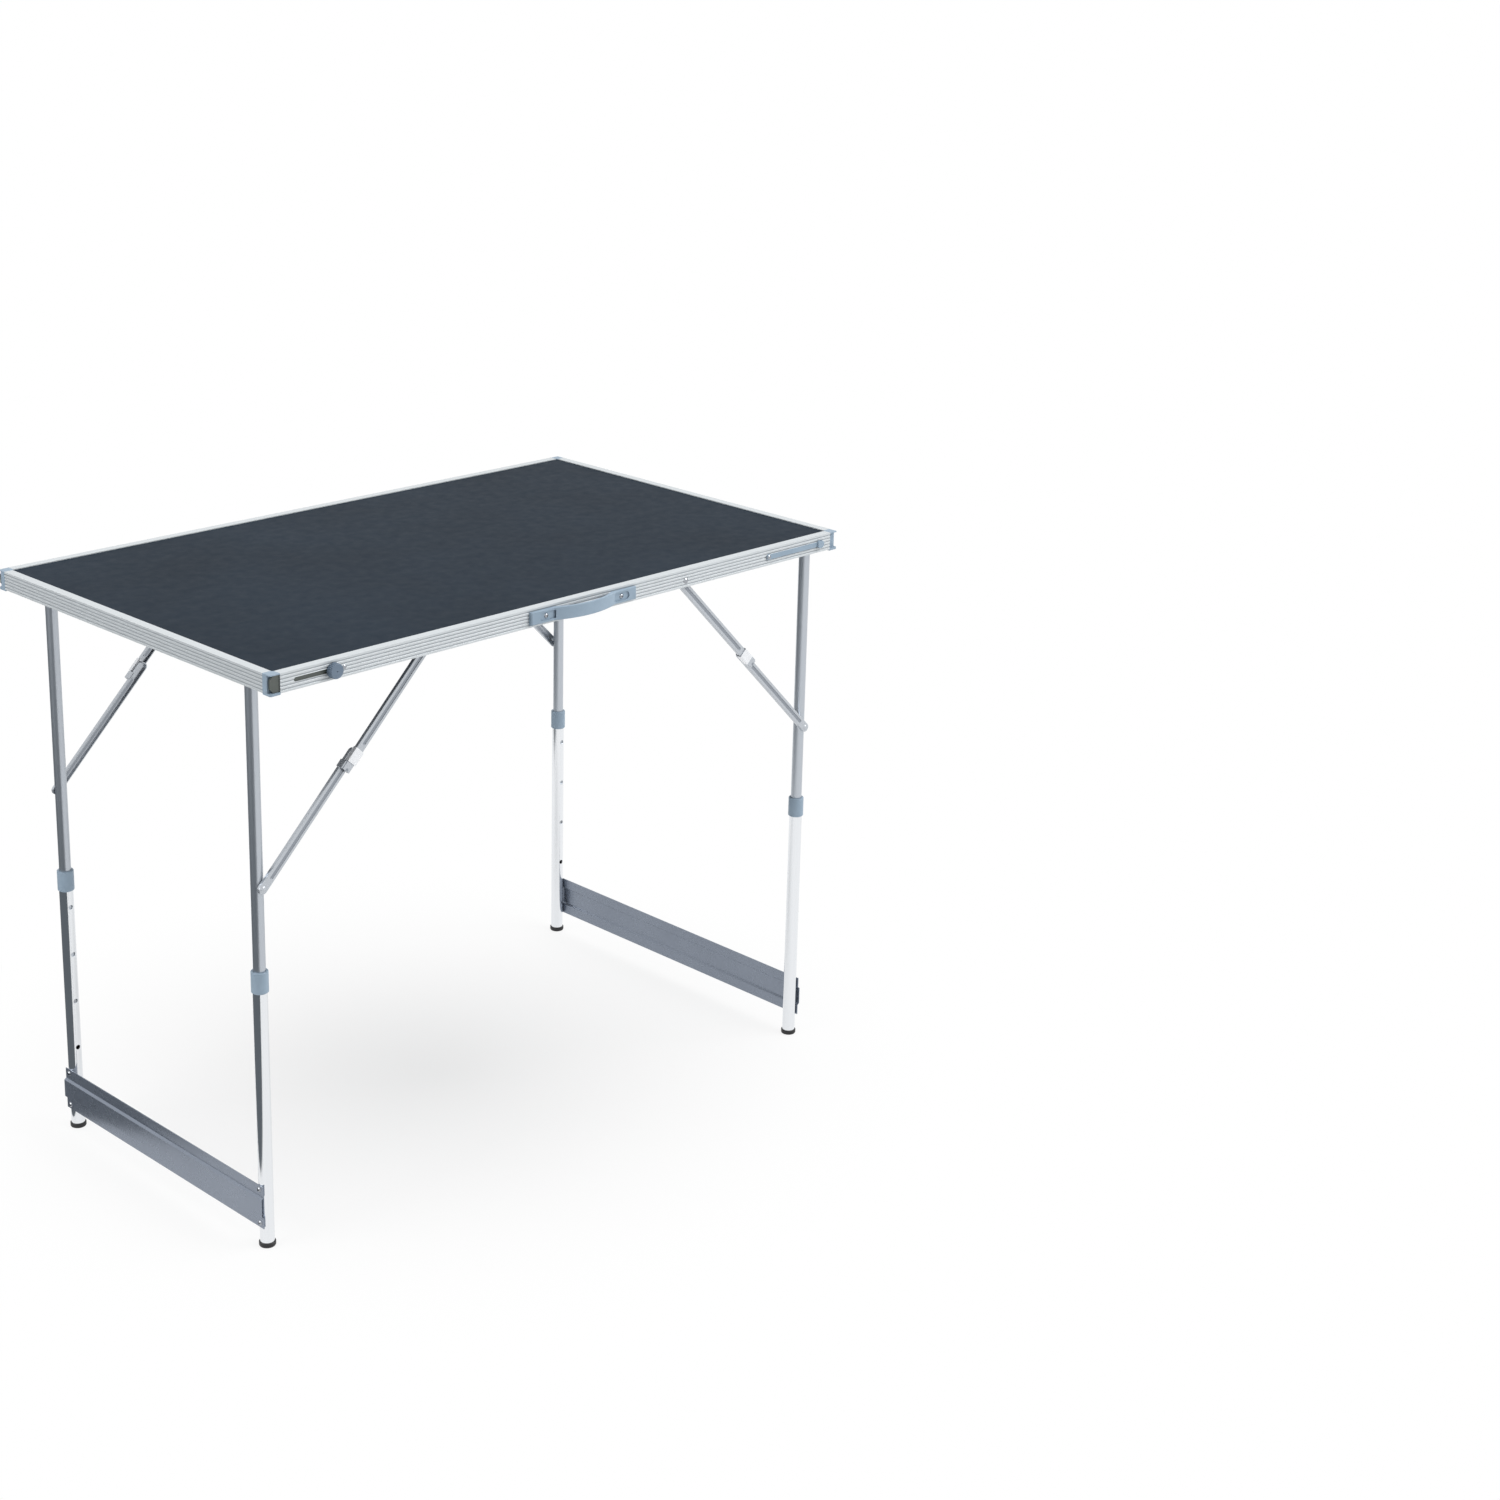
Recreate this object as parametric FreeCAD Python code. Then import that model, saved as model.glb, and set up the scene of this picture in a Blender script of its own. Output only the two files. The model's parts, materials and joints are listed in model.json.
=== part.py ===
import FreeCAD, Part
import math
import os

os.makedirs("parts", exist_ok=True)
Vec = FreeCAD.Vector
AXIS_X = Vec(1, 0, 0)
AXIS_Y = Vec(0, 1, 0)
AXIS_Z = Vec(0, 0, 1)

# Table top
table_length = 1000.0
table_width = 600.0
table_height = 800.0
panel_thickness = 6.0

# Rail extrusion, a hollow box with a rebate for the panel
rail_height = 25.0
rail_wall = 1.4
chamber_depth = 4.8
flange_width = 12.5
flange_thickness = 1.2
shelf_thickness = 1.2
groove_count = 5
groove_depth = 0.6
groove_width = 2.4

# Corner caps
cap_arm = 15.0
cap_lip = 2.0
cap_corner_radius = 2.5
cap_edge = 0.8
tongue_length = 20.0
tongue_thickness = 3.5
tongue_clearance = 0.1

# Leg frames
leg_inset = 29.0
narrow_gap = 79.0
wide_gap = 36.25
hinge_drop = 13.8
upper_radius = 8.0
upper_wall = 1.2
upper_top = 7.0
upper_bottom_z = 170.0
lower_wall = 1.2
leg_clearance = 0.3
lower_top_z = 385.0
hinge_rod_radius = 4.0
hinge_rod_overhang = 3.0
pin_clearance = 0.1

# Height holes and spring buttons
hole_pitch = 70.0
holes_above_button = 2
holes_below_button = 1
button_z = 194.0
button_radius = 3.0
button_length = 6.0
button_proud = 0.1
leaf_thickness = 0.6
leaf_below = 34.0
leaf_above = 4.0

# Collars and feet
collar_wall = 1.7
collar_below = 27.5
collar_lip = 1.5
foot_radius = 11.0
foot_height = 7.0
foot_sole = 2.5
foot_edge = 2.0
plug_height = 22.0

# Crossbars of pressed sheet
bar_bottom_z = 30.0
bar_height = 60.0
bar_sheet = 1.2
bar_edge = 15.0
bar_step = 2.5
bar_band_depth = 3.2
bar_screw_inset = 6.0
bar_overhang = 8.0
screw_shank_radius = 2.0
screw_head_radius = 3.8
screw_head_height = 2.2
recess_share = 0.5
recess_width = 0.9
recess_depth = 1.2

# Hinge brackets
bracket_sheet = 1.5
bracket_half_length = 16.0
bracket_ear_radius = 8.0
bracket_leg_gap = 0.4
bracket_screw_offset = 11.5
panel_screw_bite = 3.0

# Folding braces
anchor_reach = 279.5
anchor_drop = 8.8
link_half_width = 6.5
link_depth = 5.0
link_sheet = 1.2
link_edge = 1.2
link_leg_gap = 1.0
link_layer_gap = 2.0
emboss_width = 4.5
emboss_depth = 0.9
emboss_round = 0.8
emboss_leg_margin = 18.0
emboss_knee_margin = 20.0
knee_tongue = 3.0
pivot_radius = 2.5
pivot_head_radius = 4.2
pivot_head_height = 1.5
pivot_boss_radius = 4.0
layer_clearance = 0.3
stop_start = 11.5
stop_end = 22.0
stop_gap = 0.7
stop_edge = 0.9
sleeve_length = 20.0
sleeve_wall = 1.0
sleeve_edge = 1.6
sleeve_reach = 10.0
tab_gap = 0.4
tab_thickness = 2.0
tab_half_width = 10.0
tab_flange = 11.0

# Table connectors
connector_gap = 1.0
connector_length = 105.0
connector_thickness = 2.4
connector_height = 21.6
connector_bevel = 5.0
connector_travel = 54.0
catch_pin_inset = 36.0
catch_pin_radius = 2.5
catch_pin_reach = 4.6
catch_pin_clearance = 0.8
knob_inset = 92.0
knob_radius = 9.8
knob_thickness = 9.0
knob_standoff = 0.4
knob_teeth = 24
knob_tooth_depth = 0.9
knob_edge = 0.9
knob_dimple_radius = 0.9
knob_dimple_depth = 1.0
stem_radius = 2.4
stem_play = 0.4
slot_rivet_inset = 109.5
rivet_radius = 2.0
rivet_head_radius = 3.2
rivet_head_height = 1.5

# Spring catches
catch_rivet_inset = 145.0
catch_end_inset = 32.0
catch_half_height = 3.5
catch_thickness = 1.2
catch_standoff = 0.4
catch_eye_radius = 4.2
pad_length = 13.0
pad_half_height = 5.6
pad_thickness = 4.2
pad_waist_radius = 1.3
pad_edge = 0.9

# Carry handle
handle_length = 187.0
handle_height = 17.5
handle_end_thickness = 5.0
handle_strap_thickness = 3.2
handle_bow = 17.0
handle_bow_length = 109.0
handle_screw_spread = 67.0
handle_recess_reach = 80.0
handle_recess_width = 11.0
handle_recess_depth = 1.8
handle_corner = 1.5
handle_edge = 1.0
handle_screw_radius = 2.0
handle_screw_head = 3.6

# Places worked out from the sizes above
half_length = table_length / 2
half_width = table_width / 2
panel_top_z = table_height - flange_thickness
panel_under_z = panel_top_z - panel_thickness
rail_back = 2 * rail_wall + chamber_depth
rail_middle_z = table_height - rail_height / 2
rail_bottom_z = table_height - rail_height
knob_x = knob_inset - half_length
slot_rivet_x = slot_rivet_inset - half_length
catch_rivet_x = half_length - catch_rivet_inset
catch_end_x = half_length - catch_end_inset
catch_pin_x = half_length - catch_pin_inset
hinge_x = half_length - leg_inset
hinge_z = panel_under_z - hinge_drop
lower_bore = upper_radius + leg_clearance
lower_radius = lower_bore + lower_wall
anchor_x = hinge_x - anchor_reach
anchor_z = panel_under_z - anchor_drop
leg_rivet_z = hinge_z - anchor_reach
link_length = math.hypot(anchor_reach, anchor_z - leg_rivet_z) / 2
link_inner = upper_radius + link_leg_gap
link_outer = link_inner + link_depth
over_inner = link_outer + link_layer_gap
over_outer = over_inner + link_depth
crossbar_screw_heights = (bar_bottom_z + bar_screw_inset, bar_bottom_z + bar_height - bar_screw_inset)
FRAMES = {"left": (-1, half_width - narrow_gap), "right": (1, half_width - wide_gap)}
FACES = {"front": -1, "rear": 1}


def save(name, shape):
    shape.exportStep("parts/" + name + ".step")


def box(low, high):
    return Part.makeBox(high[0] - low[0], high[1] - low[1], high[2] - low[2], Vec(*low))


def rod(radius, start, axis, length):
    return Part.makeCylinder(radius, length, Vec(*start), axis)


def prism(points, path):
    """A solid swept along path from the closed outline through points."""
    outline = [Vec(*p) for p in points]
    return Part.Face(Part.makePolygon(outline + outline[:1])).extrude(path)


def turned(points, start, axis):
    """A solid of revolution: points are (radius, distance along axis) from start."""
    outline = [Vec(r, 0, h) for r, h in points]
    solid = Part.Face(Part.makePolygon(outline + outline[:1])).revolve(Vec(0, 0, 0), AXIS_Z, 360)
    solid.Placement = FreeCAD.Placement(Vec(*start), FreeCAD.Rotation(AXIS_Z, axis))
    return solid


def stadium(start, end, half_width_of_slot, depth_from, depth_to):
    """A round-ended bar along local X from start to end, between two depths along local Y."""
    r = half_width_of_slot
    low_start = Vec(start, depth_from, -r)
    low_end = Vec(end, depth_from, -r)
    high_end = Vec(end, depth_from, r)
    high_start = Vec(start, depth_from, r)
    edges = [
        Part.LineSegment(low_start, low_end).toShape(),
        Part.Arc(low_end, Vec(end + r, depth_from, 0), high_end).toShape(),
        Part.LineSegment(high_end, high_start).toShape(),
        Part.Arc(high_start, Vec(start - r, depth_from, 0), low_start).toShape(),
    ]
    return Part.Face(Part.Wire(edges)).extrude(Vec(0, depth_to - depth_from, 0))


def rounded(shape, radius, is_edge):
    """Fillets the edges whose two ends and middle all pass the test."""
    chosen = []
    for edge in shape.Edges:
        middle = edge.valueAt((edge.FirstParameter + edge.LastParameter) / 2)
        if all(is_edge(p) for p in [v.Point for v in edge.Vertexes] + [middle]):
            chosen.append(edge)
    return shape.makeFillet(radius, chosen)


def close(a, b):
    return abs(a - b) < 1e-4


def mirrored_x(shape):
    return shape.mirror(Vec(0, 0, 0), AXIS_X)


def mirrored_y(shape):
    return shape.mirror(Vec(0, 0, 0), AXIS_Y)


def to_face(shape, sign):
    """Shapes are drawn at the front, so the rear one is the mirror image."""
    return mirrored_y(shape) if sign > 0 else shape


def dome_head(radius, height, start, axis):
    """A low rivet or screw head whose flat side lies at start."""
    ball = (radius * radius + height * height) / (2 * height)
    half_angle = math.asin(radius / ball) / 2
    shoulder = Vec(ball * math.sin(half_angle), 0, height - ball + ball * math.cos(half_angle))
    base = Part.LineSegment(Vec(0, 0, 0), Vec(radius, 0, 0)).toShape()
    crown = Part.Arc(Vec(radius, 0, 0), shoulder, Vec(0, 0, height)).toShape()
    middle = Part.LineSegment(Vec(0, 0, height), Vec(0, 0, 0)).toShape()
    head = Part.Face(Part.Wire([base, crown, middle])).revolve(Vec(0, 0, 0), AXIS_Z, 360)
    head.Placement = FreeCAD.Placement(Vec(*start), FreeCAD.Rotation(AXIS_Z, axis))
    return head


def cross_recess(head, radius, height, start, axis):
    """Cuts a crossed driver recess into a screw head."""
    reach = radius * recess_share
    turn = FreeCAD.Placement(Vec(*start), FreeCAD.Rotation(AXIS_Z, axis))
    for long, short in ((reach, recess_width / 2), (recess_width / 2, reach)):
        blade = box((-long, -short, height - recess_depth), (long, short, height))
        blade.Placement = turn
        head = head.cut(blade)
    return head


# Rails
def rail(length, reach):
    """A rail along X whose outer face lies at Y = -reach."""
    pitch = (rail_height - 2 * rail_wall) / groove_count
    outer = []
    for n in range(groove_count):
        middle = rail_bottom_z + rail_wall + pitch * (n + 0.5)
        half = groove_width / 2
        outer += [(0, middle - half), (groove_depth, middle - half / 2)]
        outer += [(groove_depth, middle + half / 2), (0, middle + half)]
    outline = [(0, rail_bottom_z)] + outer + [
        (0, table_height),
        (flange_width, table_height),
        (flange_width, panel_top_z),
        (rail_back, panel_top_z),
        (rail_back, panel_under_z),
        (flange_width, panel_under_z),
        (flange_width, panel_under_z - shelf_thickness),
        (rail_back, panel_under_z - shelf_thickness),
        (rail_back, rail_bottom_z),
    ]
    points = [(-length / 2, u - reach, z) for u, z in outline]
    chamber = box(
        (-length / 2, rail_wall - reach, rail_bottom_z + rail_wall),
        (length / 2, rail_wall + chamber_depth - reach, table_height - rail_wall),
    )
    return prism(points, Vec(length, 0, 0)).cut(chamber)


def through_wall(radius, x, z, depth):
    """A hole tool through the front rail's outer face, depth inwards."""
    return rod(radius, (x, -half_width - 1, z), AXIS_Y, depth + 1)


def connector_slot():
    """The slot that the clamping knob's stem slides along."""
    slot_radius = stem_radius + stem_play
    slot = stadium(knob_x - connector_travel - stem_play, knob_x + stem_play, slot_radius, -1, rail_wall + 1)
    slot.translate(Vec(0, -half_width, rail_middle_z))
    return slot


long_rail = rail(table_length - 2 * cap_arm, half_width)
long_rail = long_rail.cut(connector_slot())
long_rail = long_rail.cut(through_wall(rivet_radius, slot_rivet_x, rail_middle_z, rail_back))
long_rail = long_rail.cut(through_wall(rivet_radius, catch_rivet_x, rail_middle_z, rail_wall))
catch_pin_way = catch_pin_radius + catch_pin_clearance
long_rail = long_rail.cut(through_wall(catch_pin_way, catch_pin_x, rail_middle_z, rail_wall))
long_rail = long_rail.cut(through_wall(pivot_radius, anchor_x, anchor_z, rail_back))
front_rail = long_rail
for side in (-1, 1):
    screw_hole = through_wall(handle_screw_radius, side * handle_screw_spread, rail_middle_z, rail_wall)
    front_rail = front_rail.cut(screw_hole)
save("front_rail", front_rail)
save("rear_rail", mirrored_y(long_rail))
short_rail = rail(table_width - 2 * cap_arm, half_length)
short_rail.rotate(Vec(0, 0, 0), AXIS_Z, -90)
save("left_rail", short_rail)
save("right_rail", mirrored_x(short_rail))

# Work panel
panel = box(
    (rail_back - half_length, rail_back - half_width, panel_under_z),
    (half_length - rail_back, half_width - rail_back, panel_top_z),
)


# Corner caps
def corner_cap():
    """The front left cap: a corner block, open in front where the connector bar passes."""
    bottom = rail_bottom_z - cap_lip
    block = box((0, 0, bottom), (cap_arm, cap_arm, table_height))
    block = rounded(block, cap_corner_radius, lambda p: close(p.x, 0) and close(p.y, 0))
    near_corner = cap_corner_radius / 2
    for level in (bottom, table_height):
        block = rounded(block, cap_edge, lambda p: close(p.z, level) and min(p.x, p.y) < near_corner)
    bar_way = box(
        (-1, -1, rail_bottom_z + rail_wall),
        (cap_arm + 1, rail_wall + chamber_depth, table_height - rail_wall),
    )
    inner_round = rod(cap_arm - flange_width, (cap_arm, cap_arm, bottom), AXIS_Z, table_height - bottom)
    block = block.cut(bar_way).cut(inner_round)
    side_plug = box(
        (rail_wall + tongue_clearance, cap_arm, rail_bottom_z + rail_wall + tongue_clearance),
        (rail_wall + chamber_depth - tongue_clearance, cap_arm + tongue_length,
         table_height - rail_wall - tongue_clearance),
    )
    long_tongue = box(
        (cap_arm, rail_back, rail_bottom_z),
        (cap_arm + tongue_length, rail_back + tongue_thickness, panel_under_z - shelf_thickness),
    )
    cap = block.fuse([side_plug, long_tongue]).removeSplitter()
    cap.translate(Vec(-half_length, -half_width, 0))
    return cap.cut(panel)


left_cap = corner_cap()
for face, sign in FACES.items():
    save(face + "_left_cap", to_face(left_cap, sign))
    save(face + "_right_cap", to_face(mirrored_x(left_cap), sign))


# Carry handle
def carry_handle():
    """A strap drawn in plan and raised to its height: flat ends and a bowed middle."""
    ends = handle_length / 2
    bow = handle_bow_length / 2
    back = -half_width
    end_face = back - handle_end_thickness
    crown = back - handle_bow
    inner_bow = bow - handle_strap_thickness
    corner = handle_corner
    low = rail_middle_z - handle_height / 2
    points = [
        Vec(-ends, back, low), Vec(-ends, end_face + corner, low), Vec(-ends + corner, end_face, low),
        Vec(-bow, end_face, low), Vec(bow, end_face, low),
        Vec(ends - corner, end_face, low), Vec(ends, end_face + corner, low), Vec(ends, back, low),
        Vec(inner_bow, back, low), Vec(-inner_bow, back, low),
    ]
    edges = []
    for n, start in enumerate(points):
        end = points[(n + 1) % len(points)]
        if n == 3:
            edges.append(Part.Arc(start, Vec(0, crown, low), end).toShape())
        elif n == 8:
            edges.append(Part.Arc(start, Vec(0, crown + handle_strap_thickness, low), end).toShape())
        else:
            edges.append(Part.LineSegment(start, end).toShape())
    strap = Part.Face(Part.Wire(edges)).extrude(Vec(0, 0, handle_height))
    for level in (low, low + handle_height):
        strap = rounded(strap, handle_edge, lambda p: close(p.z, level) and p.y < end_face + 1.1 * corner)
    for side in (-1, 1):
        middle = side * handle_screw_spread
        r = handle_recess_width / 2
        recess_ends = sorted((side * (handle_recess_reach - r), side * (bow - r)))
        recess = stadium(recess_ends[0], recess_ends[1], r, -1, handle_recess_depth)
        recess.translate(Vec(0, end_face, rail_middle_z))
        screw_way = rod(handle_screw_radius, (middle, end_face, rail_middle_z), AXIS_Y, handle_end_thickness)
        strap = strap.cut(recess).cut(screw_way)
    return strap


def handle_screw(x):
    seat = -half_width - handle_end_thickness + handle_recess_depth
    shank = rod(handle_screw_radius, (x, seat, rail_middle_z), AXIS_Y, rail_wall - half_width - seat)
    place = (x, seat, rail_middle_z)
    head = dome_head(handle_screw_head, screw_head_height, place, -AXIS_Y)
    return shank.fuse(cross_recess(head, handle_screw_head, screw_head_height, place, -AXIS_Y))


save("carry_handle", carry_handle())
save("handle_screws", Part.makeCompound([handle_screw(side * handle_screw_spread) for side in (-1, 1)]))


# Connector bars, their knobs and the spring catches
def connector_bar():
    """A flat bar behind the rail's outer wall, with a bevelled free end and a hole for the catch pin."""
    left = connector_gap - half_length
    right = left + connector_length
    low = rail_middle_z - connector_height / 2
    high = rail_middle_z + connector_height / 2
    front = rail_wall + layer_clearance - half_width
    bevel = connector_bevel
    outline = [(left, front, low + bevel), (left + bevel, front, low), (right, front, low),
               (right, front, high), (left + bevel, front, high), (left, front, high - bevel)]
    bar = prism(outline, Vec(0, connector_thickness, 0))
    pin_hole_x = connector_travel - catch_pin_inset - half_length
    stem_hole = rod(stem_radius + pin_clearance, (knob_x, front, rail_middle_z), AXIS_Y, connector_thickness)
    pin_hole = rod(catch_pin_radius + catch_pin_clearance, (pin_hole_x, front, rail_middle_z), AXIS_Y,
                   connector_thickness)
    return bar.cut(stem_hole).cut(pin_hole)


def clamping_knob():
    """A toothed disc with a centre dimple, on a stem that reaches into the connector bar."""
    face = -half_width - knob_standoff - knob_thickness
    outline = []
    for n in range(2 * knob_teeth):
        angle = math.pi * (n + 0.5) / knob_teeth
        reach = knob_radius - (knob_tooth_depth if n % 2 else 0)
        outline.append((knob_x + reach * math.cos(angle), face, rail_middle_z + reach * math.sin(angle)))
    rim = [(0, 0), (knob_radius - knob_edge, 0), (knob_radius, knob_edge), (knob_radius, knob_thickness),
           (0, knob_thickness)]
    disc = prism(outline, Vec(0, knob_thickness, 0))
    disc = disc.common(turned(rim, (knob_x, face, rail_middle_z), AXIS_Y))
    stem_end = rail_wall + layer_clearance + connector_thickness - half_width
    stem = rod(stem_radius, (knob_x, face + knob_thickness, rail_middle_z), AXIS_Y,
               stem_end - face - knob_thickness)
    dimple = rod(knob_dimple_radius, (knob_x, face, rail_middle_z), AXIS_Y, knob_dimple_depth)
    return disc.fuse(stem).cut(dimple).removeSplitter()


def spring_catch():
    """A leaf along the rail, riveted at one end, with a finger pad and a pin at the other."""
    back = -half_width - catch_standoff
    leaf = stadium(catch_rivet_x, catch_end_x - pad_length, catch_half_height, 0, -catch_thickness)
    eye = rod(catch_eye_radius, (catch_rivet_x, 0, 0), -AXIS_Y, catch_thickness)
    pad_run = pad_length / 2 - pad_half_height
    pad_middle = catch_end_x - pad_length / 2
    pad = stadium(pad_middle - pad_run, pad_middle + pad_run, pad_half_height, 0, -pad_thickness)
    pad = rounded(pad, pad_edge, lambda p: close(p.y, -pad_thickness))
    for side in (-1, 1):
        waist = rod(pad_waist_radius, (pad_middle, 0, side * pad_half_height), -AXIS_Y, pad_thickness)
        pad = pad.cut(waist)
    pin_length = catch_standoff + catch_pin_reach
    pin = rod(catch_pin_radius, (catch_pin_x, 0, 0), AXIS_Y, pin_length)
    catch = leaf.fuse([eye, pad, pin])
    catch = catch.cut(rod(rivet_radius + layer_clearance, (catch_rivet_x, 0, 0), -AXIS_Y, catch_thickness))
    catch.translate(Vec(0, back, rail_middle_z))
    return catch.removeSplitter()


for face, sign in FACES.items():
    save(face + "_connector_bar", to_face(connector_bar(), sign))
    save(face + "_clamping_knob", to_face(clamping_knob(), sign))
    save(face + "_spring_catch", to_face(spring_catch(), sign))


# Upper legs with their hinge rods, brackets and spring buttons
def upper_leg(sign, leg_y, face):
    x = sign * hinge_x
    y = face * leg_y
    top = hinge_z + upper_top
    length = top - upper_bottom_z
    tube = rod(upper_radius, (x, y, upper_bottom_z), AXIS_Z, length)
    tube = tube.cut(rod(upper_radius - upper_wall, (x, y, upper_bottom_z), AXIS_Z, length))
    tube = tube.cut(rod(hinge_rod_radius, (x, y - upper_radius, hinge_z), AXIS_Y, 2 * upper_radius))
    button_hole = rod(button_radius + pin_clearance, (x, y, button_z), AXIS_Y * -face, upper_radius)
    return tube.cut(button_hole)


def spring_button(sign, leg_y, face):
    """A round button on the leaf that springs it out through the tube."""
    x = sign * hinge_x
    y = face * leg_y
    inwards = AXIS_Y * -face
    tip = upper_radius + button_proud
    root = tip - button_length
    pin = rod(button_radius, (x, y - face * root, button_z), inwards, button_length)
    near, far = sorted((y - face * root, y - face * (root - leaf_thickness)))
    leaf = box((x - button_radius, near, button_z - leaf_below),
               (x + button_radius, far, button_z + leaf_above))
    tip_round = rod(tip, (x, y, button_z - button_radius), AXIS_Z, 2 * button_radius)
    return pin.common(tip_round).fuse(leaf)


def hinge_bracket(sign, leg_y, face):
    """A pressed saddle under the panel whose two ears carry the hinge rod."""
    r = bracket_ear_radius
    inner = upper_radius + bracket_leg_gap
    outer = inner + bracket_sheet
    base_z = -bracket_sheet
    drop = -hinge_drop
    ear = Part.Wire([
        Part.LineSegment(Vec(-bracket_half_length, 0, 0), Vec(bracket_half_length, 0, 0)).toShape(),
        Part.LineSegment(Vec(bracket_half_length, 0, 0), Vec(bracket_half_length, 0, base_z)).toShape(),
        Part.LineSegment(Vec(bracket_half_length, 0, base_z), Vec(r, 0, drop)).toShape(),
        Part.Arc(Vec(r, 0, drop), Vec(0, 0, drop - r), Vec(-r, 0, drop)).toShape(),
        Part.LineSegment(Vec(-r, 0, drop), Vec(-bracket_half_length, 0, base_z)).toShape(),
        Part.LineSegment(Vec(-bracket_half_length, 0, base_z), Vec(-bracket_half_length, 0, 0)).toShape(),
    ])
    saddle = Part.Face(ear).extrude(Vec(0, 2 * outer, 0))
    saddle.translate(Vec(0, -outer, 0))
    clear_height = hinge_drop + r
    leg_way = box((-bracket_half_length, -inner, -clear_height), (bracket_half_length, inner, base_z))
    saddle = saddle.cut(leg_way)
    saddle = saddle.cut(rod(hinge_rod_radius + pin_clearance, (0, -outer, drop), AXIS_Y, 2 * outer))
    for side in (-1, 1):
        screw_start = (side * bracket_screw_offset, 0, base_z)
        saddle = saddle.cut(rod(screw_shank_radius, screw_start, AXIS_Z, bracket_sheet))
    saddle.translate(Vec(sign * hinge_x, face * leg_y, panel_under_z))
    return saddle


def bracket_screw_spots(sign, leg_y, face):
    """Where the two screws of a hinge bracket enter the panel."""
    return [(sign * hinge_x + side * bracket_screw_offset, face * leg_y) for side in (-1, 1)]


def panel_screw(spot, sheet):
    """A screw up through sheet into the panel."""
    start = (spot[0], spot[1], panel_under_z - sheet)
    shank = rod(screw_shank_radius, start, AXIS_Z, sheet + panel_screw_bite)
    return shank.fuse(dome_head(screw_head_radius, screw_head_height / 2, start, -AXIS_Z))


def hinge_rod(sign, leg_y):
    reach = leg_y + upper_radius + bracket_leg_gap + bracket_sheet + hinge_rod_overhang
    return rod(hinge_rod_radius, (sign * hinge_x, -reach, hinge_z), AXIS_Y, 2 * reach)


# Lower legs, collars, feet and crossbars
def lower_leg(sign, leg_y, face):
    x = sign * hinge_x
    y = face * leg_y
    length = lower_top_z - foot_sole
    tube = rod(lower_radius, (x, y, foot_sole), AXIS_Z, length)
    tube = tube.cut(rod(lower_bore, (x, y, foot_sole), AXIS_Z, length))
    for n in range(-holes_below_button, holes_above_button + 1):
        z = button_z + n * hole_pitch
        tube = tube.cut(rod(button_radius + leg_clearance, (x, y, z), AXIS_Y * -face, lower_radius + 1))
    for z in crossbar_screw_heights:
        tube = tube.cut(rod(screw_shank_radius, (x, y, z), AXIS_X * sign, lower_radius + 1))
    return tube


def collar(sign, leg_y, face):
    """A sleeve on top of the lower tube, with a lip that guides the upper tube."""
    outer = lower_radius + collar_wall
    profile = [
        (lower_radius, -collar_below), (outer - collar_wall / 2, -collar_below), (outer, 1 - collar_below),
        (outer, collar_lip - 1), (outer - collar_wall / 2, collar_lip), (lower_bore, collar_lip),
        (lower_bore, 0), (lower_radius, 0),
    ]
    return turned(profile, (sign * hinge_x, face * leg_y, lower_top_z), AXIS_Z)


def foot(sign, leg_y, face):
    """A round-edged cap over the tube end, with a plug inside the tube."""
    bevel = foot_edge / 3
    profile = [
        (0, 0), (foot_radius - foot_edge, 0), (foot_radius - bevel, bevel), (foot_radius, foot_edge),
        (foot_radius, foot_height - bevel), (foot_radius - bevel, foot_height), (lower_radius, foot_height),
        (lower_radius, foot_sole), (lower_bore, foot_sole), (lower_bore, plug_height), (0, plug_height),
    ]
    return turned(profile, (sign * hinge_x, face * leg_y, 0), AXIS_Z)


def crossbar(sign, leg_y):
    """Pressed sheet on the outer side of the legs, with one wide raised band."""
    band = bar_height - 2 * bar_edge - 2 * bar_step
    rises = [
        (0, 0), (bar_edge, 0), (bar_step, bar_band_depth),
        (band, bar_band_depth), (bar_step, 0), (bar_edge, 0),
    ]
    z = bar_bottom_z
    inner = []
    for step, depth in rises:
        z += step
        inner.append((depth, z))
    outer = [(depth + bar_sheet, height) for depth, height in reversed(inner)]
    reach = leg_y + bar_overhang
    face_x = hinge_x + lower_radius
    points = [(sign * (face_x + depth), -reach, height) for depth, height in inner + outer]
    sheet = prism(points, Vec(0, 2 * reach, 0))
    for face in (-1, 1):
        for height in crossbar_screw_heights:
            start = (sign * face_x, face * leg_y, height)
            sheet = sheet.cut(rod(screw_shank_radius, start, AXIS_X * sign, bar_sheet))
    return sheet


def crossbar_screws(sign, leg_y):
    screws = []
    for face in (-1, 1):
        for height in crossbar_screw_heights:
            seat = (sign * (hinge_x + lower_radius + bar_sheet), face * leg_y, height)
            shank = rod(screw_shank_radius, seat, AXIS_X * -sign, lower_wall + bar_sheet)
            head = dome_head(screw_head_radius, screw_head_height, seat, AXIS_X * sign)
            head = cross_recess(head, screw_head_radius, screw_head_height, seat, AXIS_X * sign)
            screws.append(shank.fuse(head))
    return screws


# Folding braces
def on_brace(shape, sign, leg_y, face, from_anchor):
    """Places a shape drawn along local X, with local Y pointing away from the leg."""
    anchor = Vec(sign * anchor_x, face * leg_y, anchor_z)
    rivet = Vec(sign * hinge_x, face * leg_y, leg_rivet_z)
    start, end = (anchor, rivet) if from_anchor else (rivet, anchor)
    along = (end - start).normalize()
    outwards = AXIS_Y * face
    turn = FreeCAD.Rotation(along, outwards, along.cross(outwards), "XYZ")
    placed = shape.copy()
    placed.Placement = FreeCAD.Placement(start, turn)
    return placed


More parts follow.
